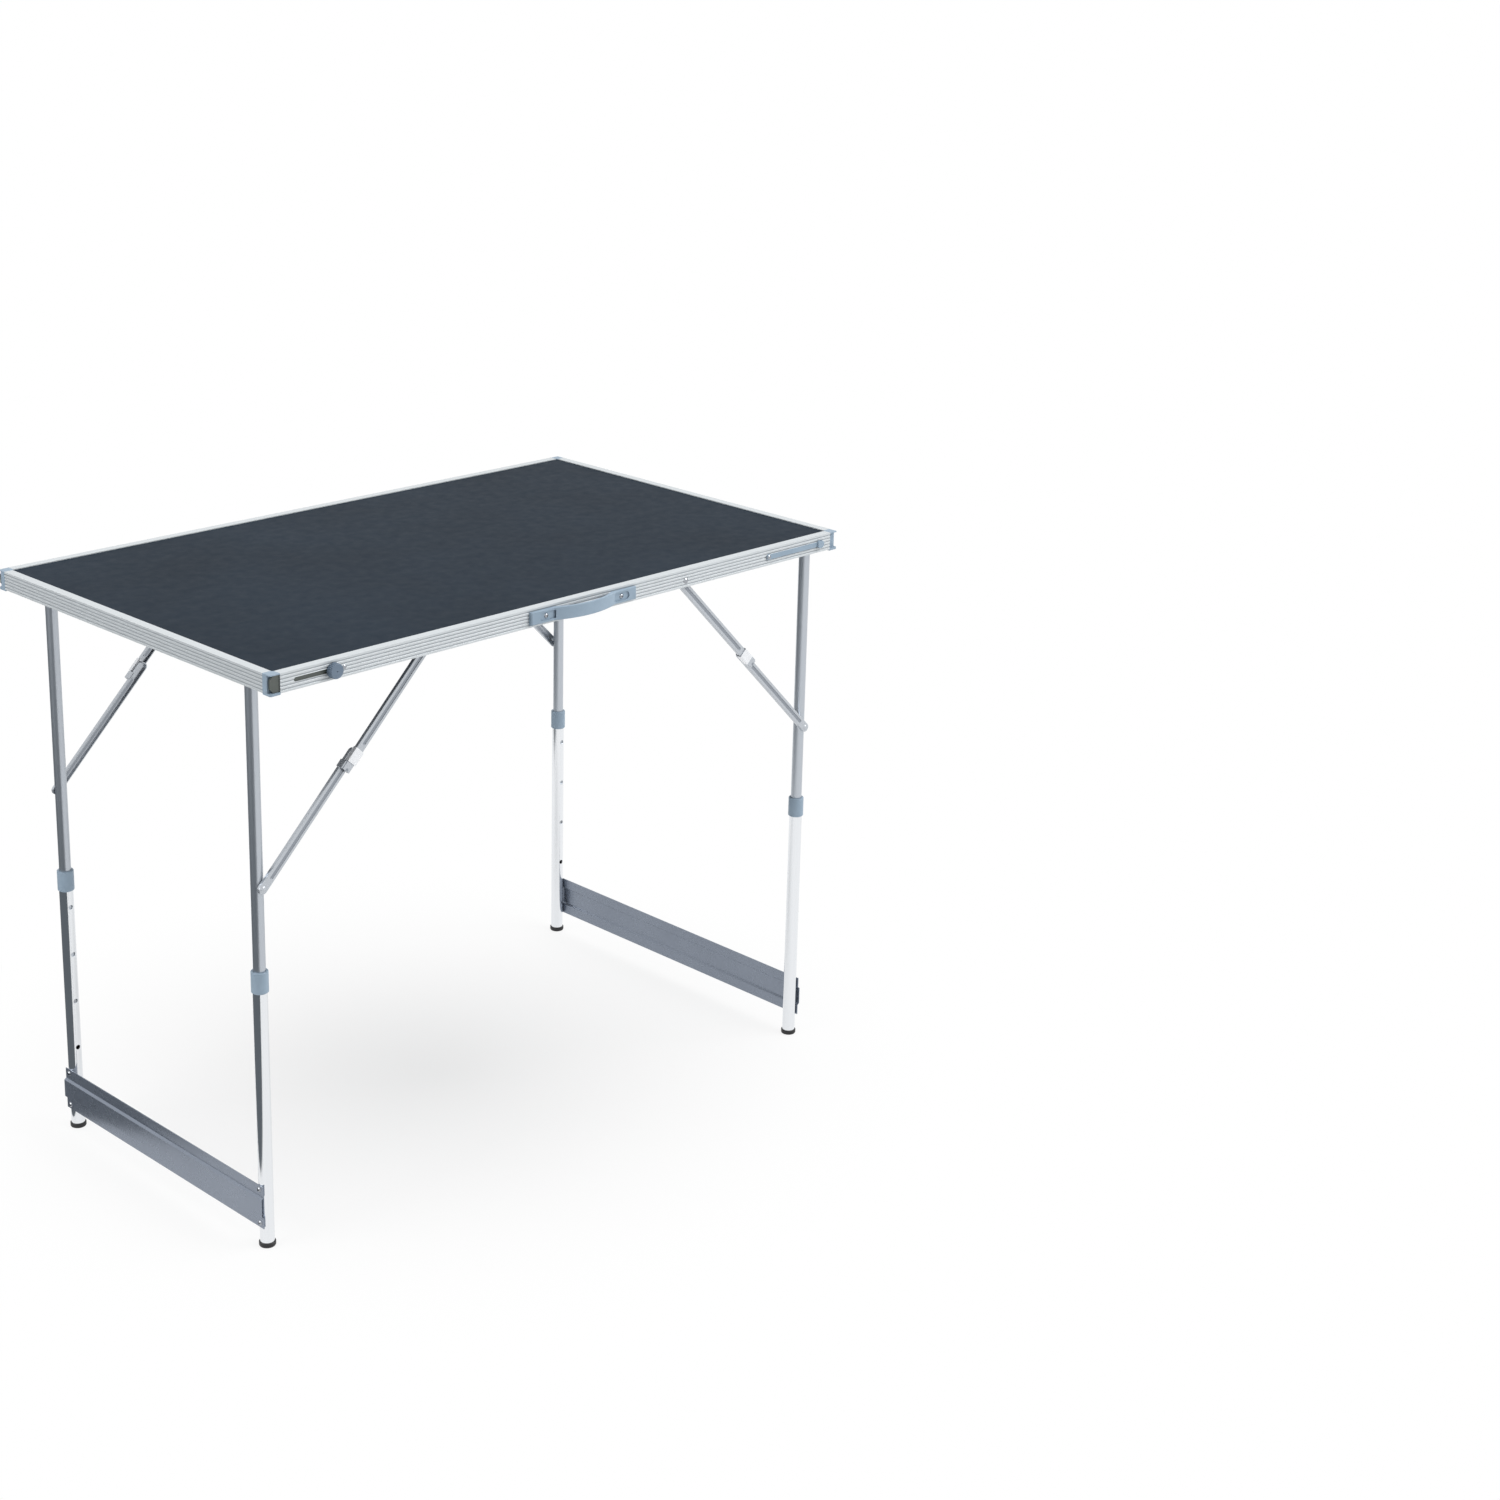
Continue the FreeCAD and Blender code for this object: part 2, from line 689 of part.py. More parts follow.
def link_tray(inner, outer, reach):
    """A pressed link: a round-ended tray from its end pivot to reach, open towards the leg, with a groove."""
    tray = stadium(0, reach, link_half_width, inner, outer)
    tray = rounded(tray, link_edge, lambda p: close(p.y, outer))
    tray = tray.cut(stadium(0, reach, link_half_width - link_sheet, inner, outer - link_sheet))
    start, end = emboss_leg_margin, link_length - emboss_knee_margin
    web = outer - link_sheet
    ridge = stadium(start, end, emboss_width / 2 + emboss_round, web - emboss_depth, web)
    groove = stadium(start, end, emboss_width / 2, outer - emboss_depth, outer)
    groove = rounded(groove, emboss_round, lambda p: close(p.y, outer - emboss_depth))
    return tray.fuse(ridge).cut(groove)


def upper_link(hinge_side):
    """The link from the table anchor, at X = 0, past the knee, with a stop wall on hinge_side."""
    end = link_length + stop_end
    link = link_tray(over_inner, over_outer, end)
    for place in (0, link_length):
        link = link.cut(rod(pivot_radius + pin_clearance, (place, over_inner, 0), AXIS_Y, link_depth))
    near = link_length + stop_start
    past = end + 2 * link_half_width
    inside = link_half_width + stop_gap
    outside = inside + link_sheet
    stop_top = over_outer - link_edge - layer_clearance
    stop = box((near, link_inner, link_half_width - link_sheet), (past, stop_top, outside))
    stop = rounded(stop, stop_edge, lambda p: close(p.y, stop_top) and close(p.z, outside))
    stop = stop.cut(box((near, link_inner, 0), (past, stop_top - link_sheet, inside)))
    if hinge_side < 0:
        stop = stop.mirror(Vec(0, 0, 0), AXIS_Z)
    link = link.fuse(stop).removeSplitter()
    return link.cut(box((end, link_inner, -outside), (past, over_outer, outside)))


def lower_link():
    """The link from the leg, at X = 0, to the knee, with its rivet and the knee pin."""
    link = link_tray(link_inner, link_outer, link_length + knee_tongue)
    rivet_start = upper_radius + layer_clearance
    rivet = rod(pivot_radius, (0, rivet_start, 0), AXIS_Y, link_outer - rivet_start)
    rivet = rivet.fuse(dome_head(pivot_head_radius, pivot_head_height, (0, link_outer, 0), AXIS_Y))
    boss_start = link_outer - link_sheet
    boss_end = over_outer - link_sheet - layer_clearance
    boss = rod(pivot_boss_radius, (link_length, boss_start, 0), AXIS_Y, boss_end - boss_start)
    pin = rod(pivot_radius, (link_length, boss_end, 0), AXIS_Y, over_outer - boss_end)
    return link.fuse([rivet, boss, pin]).removeSplitter()


def lock_sleeve():
    """A flat sleeve round the upper link at the knee, with a slot in its back for the knee's boss."""
    far = link_length + sleeve_reach
    near = far - sleeve_length
    inner_width = link_half_width + layer_clearance
    inner_low = over_inner - layer_clearance
    inner_high = over_outer + layer_clearance
    outer_width = inner_width + sleeve_wall
    tube = box((near, inner_low - sleeve_wall, -outer_width), (far, inner_high + sleeve_wall, outer_width))
    middle = (inner_low + inner_high) / 2
    half_depth = (inner_high - inner_low) / 2 + sleeve_wall
    tube = rounded(tube, sleeve_edge,
                   lambda p: close(abs(p.y - middle), half_depth) and close(abs(p.z), outer_width))
    tube = tube.cut(box((near, inner_low, -inner_width), (far, inner_high, inner_width)))
    slot = pivot_boss_radius + layer_clearance
    return tube.cut(box((near, inner_low - sleeve_wall, -slot), (far, inner_low, slot)))


def anchor_pin(bearing, seat):
    """A shouldered pin through the upper link and its support, which runs from bearing to seat."""
    web_inside = over_outer - link_sheet - layer_clearance
    shoulder = over_outer + layer_clearance
    profile = [
        (0, web_inside - pivot_head_height), (pivot_head_radius, web_inside - pivot_head_height),
        (pivot_head_radius, web_inside), (pivot_radius, web_inside), (pivot_radius, shoulder),
        (pivot_head_radius, shoulder), (pivot_head_radius, bearing), (pivot_radius, bearing),
        (pivot_radius, seat), (pivot_head_radius, seat), (pivot_head_radius / 2, seat + pivot_head_height),
        (0, seat + pivot_head_height),
    ]
    return turned(profile, (0, 0, 0), AXIS_Y)


def anchor_tab(leg_y):
    """A bent tab under the panel that carries the narrow frame's brace."""
    inner = leg_y + over_outer + tab_gap
    outer = inner + tab_thickness
    drop = panel_under_z - anchor_z
    r = tab_half_width
    outline = Part.Wire([
        Part.LineSegment(Vec(-r, 0, 0), Vec(r, 0, 0)).toShape(),
        Part.LineSegment(Vec(r, 0, 0), Vec(r, 0, -drop)).toShape(),
        Part.Arc(Vec(r, 0, -drop), Vec(0, 0, -drop - r), Vec(-r, 0, -drop)).toShape(),
        Part.LineSegment(Vec(-r, 0, -drop), Vec(-r, 0, 0)).toShape(),
    ])
    tab = Part.Face(outline).extrude(Vec(0, -tab_thickness, 0))
    flange = box((-r, -tab_flange, -tab_thickness), (r, 0, 0))
    tab = tab.fuse(flange).cut(rod(pivot_radius, (0, -tab_thickness, -drop), AXIS_Y, tab_thickness))
    tab = tab.cut(rod(screw_shank_radius, (0, -tab_flange / 2 - tab_thickness / 2, -tab_thickness), AXIS_Z,
                      tab_thickness))
    tab.translate(Vec(-anchor_x, -inner, panel_under_z))
    return tab.removeSplitter(), inner, outer


for side, (sign, leg_y) in FRAMES.items():
    save(side + "_hinge_rod", hinge_rod(sign, leg_y))
    save(side + "_crossbar", crossbar(sign, leg_y))
    save(side + "_crossbar_screws", Part.makeCompound(crossbar_screws(sign, leg_y)))
    save(side + "_leg_collars", Part.makeCompound([collar(sign, leg_y, face) for face in FACES.values()]))
    save(side + "_feet", Part.makeCompound([foot(sign, leg_y, face) for face in FACES.values()]))
    for face_name, face in FACES.items():
        place = face_name + "_" + side
        save(place + "_hinge_bracket", hinge_bracket(sign, leg_y, face))
        save(place + "_upper_leg", upper_leg(sign, leg_y, face))
        save(place + "_spring_button", spring_button(sign, leg_y, face))
        save(place + "_lower_leg", lower_leg(sign, leg_y, face))
        save(place + "_upper_brace", on_brace(upper_link(sign * face), sign, leg_y, face, True))
        save(place + "_lower_brace", on_brace(lower_link(), sign, leg_y, face, False))
        save(place + "_lock_sleeve", on_brace(lock_sleeve(), sign, leg_y, face, True))

# Brace anchors and the rivets of the table top
narrow_y = FRAMES["left"][1]
wide_y = FRAMES["right"][1]
tab, tab_inner, tab_outer = anchor_tab(narrow_y)
fasteners = []
panel_spots = []
for face_name, face in FACES.items():
    save(face_name + "_anchor_tab", to_face(tab, face))
    tab_pin = anchor_pin(tab_inner - narrow_y, tab_outer - narrow_y)
    rail_pin = anchor_pin(half_width - rail_back - wide_y, half_width - wide_y)
    for pin, x, y in ((tab_pin, -anchor_x, narrow_y), (rail_pin, anchor_x, wide_y)):
        pin = pin.copy() if face > 0 else mirrored_y(pin)
        pin.translate(Vec(x, face * y, anchor_z))
        fasteners.append(pin)
    slot_seat = (slot_rivet_x, -half_width, rail_middle_z)
    slot_rivet = rod(rivet_radius, slot_seat, AXIS_Y, rail_back)
    head = dome_head(rivet_head_radius, rivet_head_height, slot_seat, -AXIS_Y)
    fasteners.append(to_face(slot_rivet.fuse(head), face))
    catch_reach = catch_standoff + catch_thickness + layer_clearance
    catch_seat = (catch_rivet_x, -half_width - catch_reach, rail_middle_z)
    catch_rivet = rod(rivet_radius, catch_seat, AXIS_Y, catch_reach + rail_wall)
    head = dome_head(rivet_head_radius, rivet_head_height, catch_seat, -AXIS_Y)
    fasteners.append(to_face(catch_rivet.fuse(head), face))
    tab_spot = (-anchor_x, face * (tab_inner + tab_flange / 2 + tab_thickness / 2))
    panel_spots.append(tab_spot)
    fasteners.append(panel_screw(tab_spot, tab_thickness))
    for sign, leg_y in FRAMES.values():
        for spot in bracket_screw_spots(sign, leg_y, face):
            panel_spots.append(spot)
            fasteners.append(panel_screw(spot, bracket_sheet))
save("table_fasteners", Part.makeCompound(fasteners))
for x, y in panel_spots:
    panel = panel.cut(rod(screw_shank_radius, (x, y, panel_under_z), AXIS_Z, panel_screw_bite))
save("panel", panel)
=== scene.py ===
import json

import bpy
from mathutils import Matrix, Vector

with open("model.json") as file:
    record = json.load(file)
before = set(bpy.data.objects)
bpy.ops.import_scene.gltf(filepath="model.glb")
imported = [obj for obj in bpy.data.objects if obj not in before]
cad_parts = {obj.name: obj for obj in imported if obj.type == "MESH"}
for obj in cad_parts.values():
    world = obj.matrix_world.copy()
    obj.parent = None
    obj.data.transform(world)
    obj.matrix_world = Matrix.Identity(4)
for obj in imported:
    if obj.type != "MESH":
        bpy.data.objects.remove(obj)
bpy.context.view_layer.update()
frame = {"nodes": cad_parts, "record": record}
nodes = frame["nodes"]
scene = bpy.context.scene
scene.view_settings.view_transform = "Standard"


def srgb(r, g, b):
    """A colour written in 0 to 255 screen values, as linear light."""
    out = []
    for v in (r, g, b):
        v /= 255
        out.append(v / 12.92 if v <= 0.04045 else ((v + 0.055) / 1.055) ** 2.4)
    return (*out, 1.0)


# Camera, as the photograph was taken
CAMERA_PLACE = (-2.2161, -2.6869, 1.7724)
CAMERA_RIGHT = (0.688901, -0.724329, 0.027621)
CAMERA_DOWN = (-0.189337, -0.216598, -0.957725)
CAMERA_FORWARD = (0.69969, 0.654548, -0.286357)
CAMERA_LENS = 62.087
CAMERA_SENSOR = 36.0
CAMERA_SHIFT_X = -0.005
CAMERA_SHIFT_Y = -0.1

# Noise, whose sizes are cells per metre
NOISE_ROUGHNESS = 0.55
NOISE_SPAN = (0.3, 0.7)
WIDE_SPAN = (0.25, 0.75)
PLAIN, MEDIUM, RICH = 2.0, 3.0, 4.0

# Dark melamine panel
PANEL_DARK = srgb(23, 34, 45)
PANEL_LIGHT = srgb(28, 40, 52)
PANEL_ROUGHNESS = (0.46, 0.54)
PANEL_SPECULAR = 0.04
PANEL_CLOUDS = 5
PANEL_SHEEN = 60
PANEL_PEARL = 1100
PANEL_PEARL_DEPTH = 0.0001
PANEL_PEARL_STRENGTH = 0.35

# Drawn tubes, with lines and bands along them
TUBE_AXIS = "Z"
TUBE_LINES = 1500
TUBE_LINES_ALONG = 1.5
TUBE_LINE_DEPTH = 0.000004
TUBE_LINE_STRENGTH = 0.1
TUBE_BANDS = 70
TUBE_BANDS_ALONG = 0.6

# Ribbed rails, with painted shade in their grooves: the grooves lie between two heights
RAIL_METALLIC = 0.3
RAIL_LIGHT = srgb(200, 205, 208)
RAIL_PAINTED_SHADE = srgb(158, 164, 169)
RAIL_ROUGHNESS = (0.44, 0.5)
RAIL_LINES = 300
RAIL_LINES_ALONG = 1.2
RAIL_GROOVES = (0.7764, 0.7986)
GROOVE_COUNT = 5
GROOVE_SPAN = (0.1, 0.9)

# Brace links: painted shade in the groove, which runs between a margin at the knee and one at the far
# rivet
joints = {joint["name"]: joint for joint in frame["record"]["behaviour"]["joints"]}
brace_knee = Vector(joints["front_right_brace_knee"]["pos_m"])
link_run = brace_knee - Vector(joints["front_right_brace_anchor"]["pos_m"])
LINK_KNEE = (brace_knee.x, 0.0, brace_knee.z)
LINK_ALONG = link_run.normalized()
LINK_ACROSS = Vector((-LINK_ALONG.z, 0.0, LINK_ALONG.x))
LINK_KNEE_MARGIN = 0.02
LINK_RIVET_MARGIN = 0.018
LINK_GROOVE = (LINK_KNEE_MARGIN, link_run.length - LINK_RIVET_MARGIN)
LINK_GROOVE_HALF = 0.0034
LINK_DISH = 0.0004
LINK_DISH_SPAN = (0.1, 0.9)
LINK_METALLIC = 0.7
LINK_LIGHT = srgb(188, 193, 199)
LINK_PAINTED_SHADE = srgb(146, 152, 160)
LINK_ROUGHNESS = (0.2, 0.28)
LINK_SHEEN = 56

# Moulded plastic
PLASTIC_SPECULAR = 0.25
PLASTIC_CLOUDS = 25
PLASTIC_SHEEN = 120
PLASTIC_SHEEN_SPREAD = 0.06
PLASTIC_GRAIN = 2600
PLASTIC_GRAIN_DEPTH = 0.00004
PLASTIC_GRAIN_STRENGTH = 0.4

# Plated and pressed sheet
SHEET_SHEEN_RATIO = 4
SHEET_DIMPLES = 400
SHEET_DIMPLE_DEPTH = 0.00002
SHEET_DIMPLE_STRENGTH = 0.3

# Painted connector bars
PAINT_CLOUDS = 60
PAINT_GRAIN = 900
PAINT_GRAIN_DEPTH = 0.00005
PAINT_GRAIN_STRENGTH = 0.4
PAINT_COAT = 0.2
PAINT_COAT_ROUGHNESS = 0.3

# Rubber feet
RUBBER_DARK = srgb(20, 20, 22)
RUBBER_LIGHT = srgb(30, 30, 32)
RUBBER_ROUGHNESS = 0.55
RUBBER_CLOUDS = 80
RUBBER_GRAIN = 1500
RUBBER_GRAIN_DEPTH = 0.00008
RUBBER_GRAIN_STRENGTH = 0.6

# Stage: a pale floor, and a dark flag on it that only reflections show
WHITE = (1, 1, 1, 1)
BLACK = (0, 0, 0, 1)
FLOOR_SIZE = 120.0
FLOOR_COLOUR = (0.88, 0.88, 0.88, 1)
FLOOR_ROUGHNESS = 0.8
FLOOR_SPECULAR = 0.1
FLOOR_FADE = (-0.4, 0.8)
FLAG_HALF = 6.0
FLAG_HEIGHT = 0.0005
FLAG_GREY = (0.12, 0.135, 0.15, 1)
FLAG_OFFSET = 0.56

# Sky, bright on one side and dim on the other
BRIGHT_SIDE = Vector((0.927, -0.375, 0.0))
SKY_TURN = (-0.3, 0.6)
SKY_DIM = 0.3
SKY_BRIGHT = 1.0


def add_camera():
    data = bpy.data.cameras.new("camera")
    data.lens = CAMERA_LENS
    data.sensor_width = CAMERA_SENSOR
    data.shift_x = CAMERA_SHIFT_X
    data.shift_y = CAMERA_SHIFT_Y
    camera = bpy.data.objects.new("camera", data)
    scene.collection.objects.link(camera)
    turn = Matrix((CAMERA_RIGHT, [-v for v in CAMERA_DOWN], [-v for v in CAMERA_FORWARD])).transposed()
    camera.matrix_world = Matrix.Translation(CAMERA_PLACE) @ turn.to_4x4()
    scene.camera = camera


# Materials
def set_span(node, span, result=None):
    """The values that a Map Range node starts from, and those that it gives."""
    node.inputs["From Min"].default_value, node.inputs["From Max"].default_value = span
    if result is not None:
        node.inputs["To Min"].default_value, node.inputs["To Max"].default_value = result


class Shader:
    """A material under construction, around one Principled shader."""

    def __init__(self, name, metallic=0.0, roughness=0.5):
        self.material = bpy.data.materials.new(name)
        self.material.use_nodes = True
        self.tree = self.material.node_tree
        self.shader = self.tree.nodes["Principled BSDF"]
        self.set(Metallic=metallic, Roughness=roughness)
        self.place = self.node("ShaderNodeTexCoord").outputs["Object"]

    def node(self, kind, **values):
        made = self.tree.nodes.new(kind)
        for key, value in values.items():
            setattr(made, key, value)
        return made

    def link(self, source, target):
        self.tree.links.new(source, target)

    def set(self, **values):
        for key, value in values.items():
            self.shader.inputs[key.replace("_", " ")].default_value = value

    def noise(self, cells, detail, along=None, cells_along=None):
        """Noise of so many cells per metre, or another number of them along one axis."""
        stretch = [cells, cells, cells]
        if along is not None:
            stretch["XYZ".index(along)] = cells_along
        mapping = self.node("ShaderNodeMapping")
        mapping.inputs["Scale"].default_value = stretch
        self.link(self.place, mapping.inputs["Vector"])
        made = self.node("ShaderNodeTexNoise")
        made.inputs["Scale"].default_value = 1.0
        made.inputs["Detail"].default_value = detail
        made.inputs["Roughness"].default_value = NOISE_ROUGHNESS
        self.link(mapping.outputs["Vector"], made.inputs["Vector"])
        return made.outputs["Fac"]

    def vector_math(self, operation, first, second=None):
        """A vector operation on a socket and a fixed vector."""
        made = self.node("ShaderNodeVectorMath", operation=operation)
        self.link(first, made.inputs[0])
        if second is not None:
            made.inputs[1].default_value = second
        return made.outputs["Value" if operation in ("DOT_PRODUCT", "LENGTH") else "Vector"]

    def math(self, operation, *sources):
        made = self.node("ShaderNodeMath", operation=operation)
        for n, source in enumerate(sources):
            self.link(source, made.inputs[n])
        return made.outputs["Value"]

    def colour(self, value, span, *colours):
        """Base colour that runs evenly through the colours over the span of a value."""
        low, high = span
        made = self.node("ShaderNodeValToRGB")
        elements = made.color_ramp.elements
        elements[0].position = low
        elements[1].position = high
        elements[0].color = colours[0]
        elements[1].color = colours[-1]
        for n, colour in enumerate(colours[1:-1], 1):
            step = elements.new(low + (high - low) * n / (len(colours) - 1))
            step.color = colour
        self.link(value, made.inputs["Fac"])
        self.link(made.outputs["Color"], self.shader.inputs["Base Color"])

    def rough(self, value, span, roughness):
        made = self.node("ShaderNodeMapRange")
        set_span(made, span, roughness)
        self.link(value, made.inputs["Value"])
        self.link(made.outputs["Result"], self.shader.inputs["Roughness"])

    def bump(self, value, depth, strength=1.0):
        made = self.node("ShaderNodeBump")
        made.inputs["Distance"].default_value = depth
        made.inputs["Strength"].default_value = strength
        self.link(value, made.inputs["Height"])
        self.link(made.outputs["Normal"], self.shader.inputs["Normal"])


def laminate():
    """Dark melamine panel with a fine pearl texture."""
    made = Shader("dark_laminate")
    made.colour(made.noise(PANEL_CLOUDS, RICH), NOISE_SPAN, PANEL_DARK, PANEL_LIGHT)
    made.rough(made.noise(PANEL_SHEEN, RICH), NOISE_SPAN, PANEL_ROUGHNESS)
    made.bump(made.noise(PANEL_PEARL, PLAIN), PANEL_PEARL_DEPTH, PANEL_PEARL_STRENGTH)
    made.set(Specular_IOR_Level=PANEL_SPECULAR)
    return made.material


def drawn_tube(name, light, dark, roughness, metallic):
    """Drawn aluminium with fine lines along the tube."""
    made = Shader(name, metallic=metallic)
    lines = made.noise(TUBE_LINES, PLAIN, TUBE_AXIS, TUBE_LINES_ALONG)
    bands = made.noise(TUBE_BANDS, MEDIUM, TUBE_AXIS, TUBE_BANDS_ALONG)
    made.colour(bands, NOISE_SPAN, dark, light)
    made.rough(lines, WIDE_SPAN, roughness)
    made.bump(lines, TUBE_LINE_DEPTH, TUBE_LINE_STRENGTH)
    return made.material


def ribbed_rail(name, along):
    """Satin aluminium rail, with painted shade in the grooves of its outer face."""
    made = Shader(name, metallic=RAIL_METALLIC)
    height = made.node("ShaderNodeSeparateXYZ")
    made.link(made.place, height.inputs["Vector"])
    count = made.node("ShaderNodeMapRange")
    set_span(count, RAIL_GROOVES, (0, GROOVE_COUNT))
    made.link(height.outputs["Z"], count.inputs["Value"])
    share = made.math("FRACT", count.outputs["Result"])
    # Painted shade: the middle band of each groove takes the darker colour
    bands = (RAIL_LIGHT, RAIL_LIGHT, RAIL_PAINTED_SHADE, RAIL_PAINTED_SHADE, RAIL_LIGHT, RAIL_LIGHT)
    made.colour(share, GROOVE_SPAN, *bands)
    made.rough(made.noise(RAIL_LINES, PLAIN, along, RAIL_LINES_ALONG), NOISE_SPAN, RAIL_ROUGHNESS)
    return made.material


def moulded(name, light, dark, roughness):
    """Moulded plastic with a fine spark-eroded grain."""
    made = Shader(name)
    made.colour(made.noise(PLASTIC_CLOUDS, RICH), NOISE_SPAN, dark, light)
    sheen = (roughness - PLASTIC_SHEEN_SPREAD, roughness + PLASTIC_SHEEN_SPREAD)
    made.rough(made.noise(PLASTIC_SHEEN, MEDIUM), NOISE_SPAN, sheen)
    made.bump(made.noise(PLASTIC_GRAIN, PLAIN), PLASTIC_GRAIN_DEPTH, PLASTIC_GRAIN_STRENGTH)
    made.set(Specular_IOR_Level=PLASTIC_SPECULAR)
    return made.material


def plated(name, light, dark, roughness, grain, metallic):
    """Pressed and plated sheet, with faint clouds in its sheen."""
    made = Shader(name, metallic=metallic)
    made.colour(made.noise(grain, MEDIUM), WIDE_SPAN, dark, light)
    made.rough(made.noise(SHEET_SHEEN_RATIO * grain, MEDIUM), NOISE_SPAN, roughness)
    made.bump(made.noise(SHEET_DIMPLES, PLAIN), SHEET_DIMPLE_DEPTH, SHEET_DIMPLE_STRENGTH)
    return made.material


def pressed_link():
    """Plated brace link, dished along its groove, with painted shade in the groove."""
    made = Shader("zinc_links", metallic=LINK_METALLIC)
    made.rough(made.noise(LINK_SHEEN, MEDIUM), NOISE_SPAN, LINK_ROUGHNESS)

    # Absolute coordinates lay all four braces on one knee
    offset = made.vector_math("SUBTRACT", made.vector_math("ABSOLUTE", made.place), LINK_KNEE)
    across = made.vector_math("DOT_PRODUCT", offset, LINK_ACROSS)
    reach = made.math("ABSOLUTE", made.vector_math("DOT_PRODUCT", offset, LINK_ALONG))

    # Distance from the groove's middle line, round its ends too
    held = made.node("ShaderNodeClamp")
    held.inputs["Min"].default_value, held.inputs["Max"].default_value = LINK_GROOVE
    made.link(reach, held.inputs["Value"])
    corner = made.node("ShaderNodeCombineXYZ")
    made.link(made.math("SUBTRACT", reach, held.outputs["Result"]), corner.inputs["X"])
    made.link(across, corner.inputs["Y"])
    distance = made.vector_math("LENGTH", corner.outputs["Vector"])

    dish = made.node("ShaderNodeMapRange", interpolation_type="SMOOTHSTEP")
    set_span(dish, (0, LINK_GROOVE_HALF))
    made.link(distance, dish.inputs["Value"])
    # Painted shade: the groove's middle is coloured darker than the sheet around it
    made.colour(dish.outputs["Result"], LINK_DISH_SPAN, LINK_PAINTED_SHADE, LINK_PAINTED_SHADE, LINK_LIGHT)
    made.bump(dish.outputs["Result"], LINK_DISH)
    return made.material


def painted(name, light, dark, roughness):
    """Thin satin paint on metal."""
    made = Shader(name, roughness=roughness)
    made.colour(made.noise(PAINT_CLOUDS, RICH), NOISE_SPAN, dark, light)
    made.bump(made.noise(PAINT_GRAIN, PLAIN), PAINT_GRAIN_DEPTH, PAINT_GRAIN_STRENGTH)
    made.set(Coat_Weight=PAINT_COAT, Coat_Roughness=PAINT_COAT_ROUGHNESS)
    return made.material


def rubber():
    """Black rubber with a matt grain."""
    made = Shader("black_rubber", roughness=RUBBER_ROUGHNESS)
    made.colour(made.noise(RUBBER_CLOUDS, RICH), NOISE_SPAN, RUBBER_DARK, RUBBER_LIGHT)
    made.bump(made.noise(RUBBER_GRAIN, MEDIUM), RUBBER_GRAIN_DEPTH, RUBBER_GRAIN_STRENGTH)
    return made.material


finishes = {
    "panel": laminate(),
    "rail_x": ribbed_rail("long_rail_aluminium", along="X"),
    "rail_y": ribbed_rail("short_rail_aluminium", along="Y"),
    "plastic": moulded(
        "blue_grey_plastic", light=srgb(148, 166, 182), dark=srgb(139, 157, 173), roughness=0.42,
    ),
    "knob": moulded(
        "knob_plastic", light=srgb(116, 131, 148), dark=srgb(105, 120, 137), roughness=0.38,
    ),
    "connector": painted(
        "olive_connector", light=srgb(80, 86, 82), dark=srgb(70, 76, 72), roughness=0.4,
    ),
    "bright_tube": drawn_tube(
        "bright_tube_aluminium", light=srgb(238, 240, 243), dark=srgb(230, 233, 236),
        roughness=(0.1, 0.18), metallic=1.0,
    ),
    "grey_tube": drawn_tube(
        "grey_tube_aluminium", light=srgb(194, 200, 207), dark=srgb(184, 190, 197),
        roughness=(0.3, 0.37), metallic=0.95,
    ),
    "crossbar": plated(
        "crossbar_sheet", light=srgb(139, 147, 160), dark=srgb(131, 139, 152),
        roughness=(0.24, 0.3), grain=8, metallic=0.7,
    ),
    "brace": pressed_link(),
    "link": plated(
        "zinc_fittings", light=srgb(196, 200, 206), dark=srgb(184, 188, 195),
        roughness=(0.2, 0.28), grain=14, metallic=0.8,
    ),
    "sleeve": plated(
        "sleeve_steel", light=srgb(238, 240, 243), dark=srgb(228, 231, 235),
        roughness=(0.14, 0.2), grain=20, metallic=0.55,
    ),
    "bright_steel": plated(
        "bright_steel", light=srgb(168, 171, 176), dark=srgb(156, 160, 166),
        roughness=(0.1, 0.16), grain=20, metallic=1.0,
    ),
    "foot": rubber(),
}


def finish_of(name, slot):
    """The finish of a node: its own where it has one, and otherwise its slot's."""
    if slot == "rail":
        return "rail_y" if name.startswith(("left_", "right_")) else "rail_x"
    own = name.split("_")[-1]
    return own if own in finishes else slot


def dress_nodes():
    """Gives each CAD node its finish."""
    for entry in frame["record"]["subparts"]:
        made = nodes[entry["node"]]
        made.data.materials.clear()
        made.data.materials.append(finishes[finish_of(entry["node"], entry["material_slot"])])


# Stage and light
def seen_share(tree):
    """1 for what the camera sees, directly, in a reflection or through glass, and otherwise 0."""
    ray = tree.nodes.new("ShaderNodeLightPath")
    seen = ray.outputs["Is Camera Ray"]
    for kind in ("Is Glossy Ray", "Is Transmission Ray"):
        either = tree.nodes.new("ShaderNodeMath")
        either.operation = "MAXIMUM"
        tree.links.new(seen, either.inputs[0])
        tree.links.new(ray.outputs[kind], either.inputs[1])
        seen = either.outputs["Value"]
    return seen


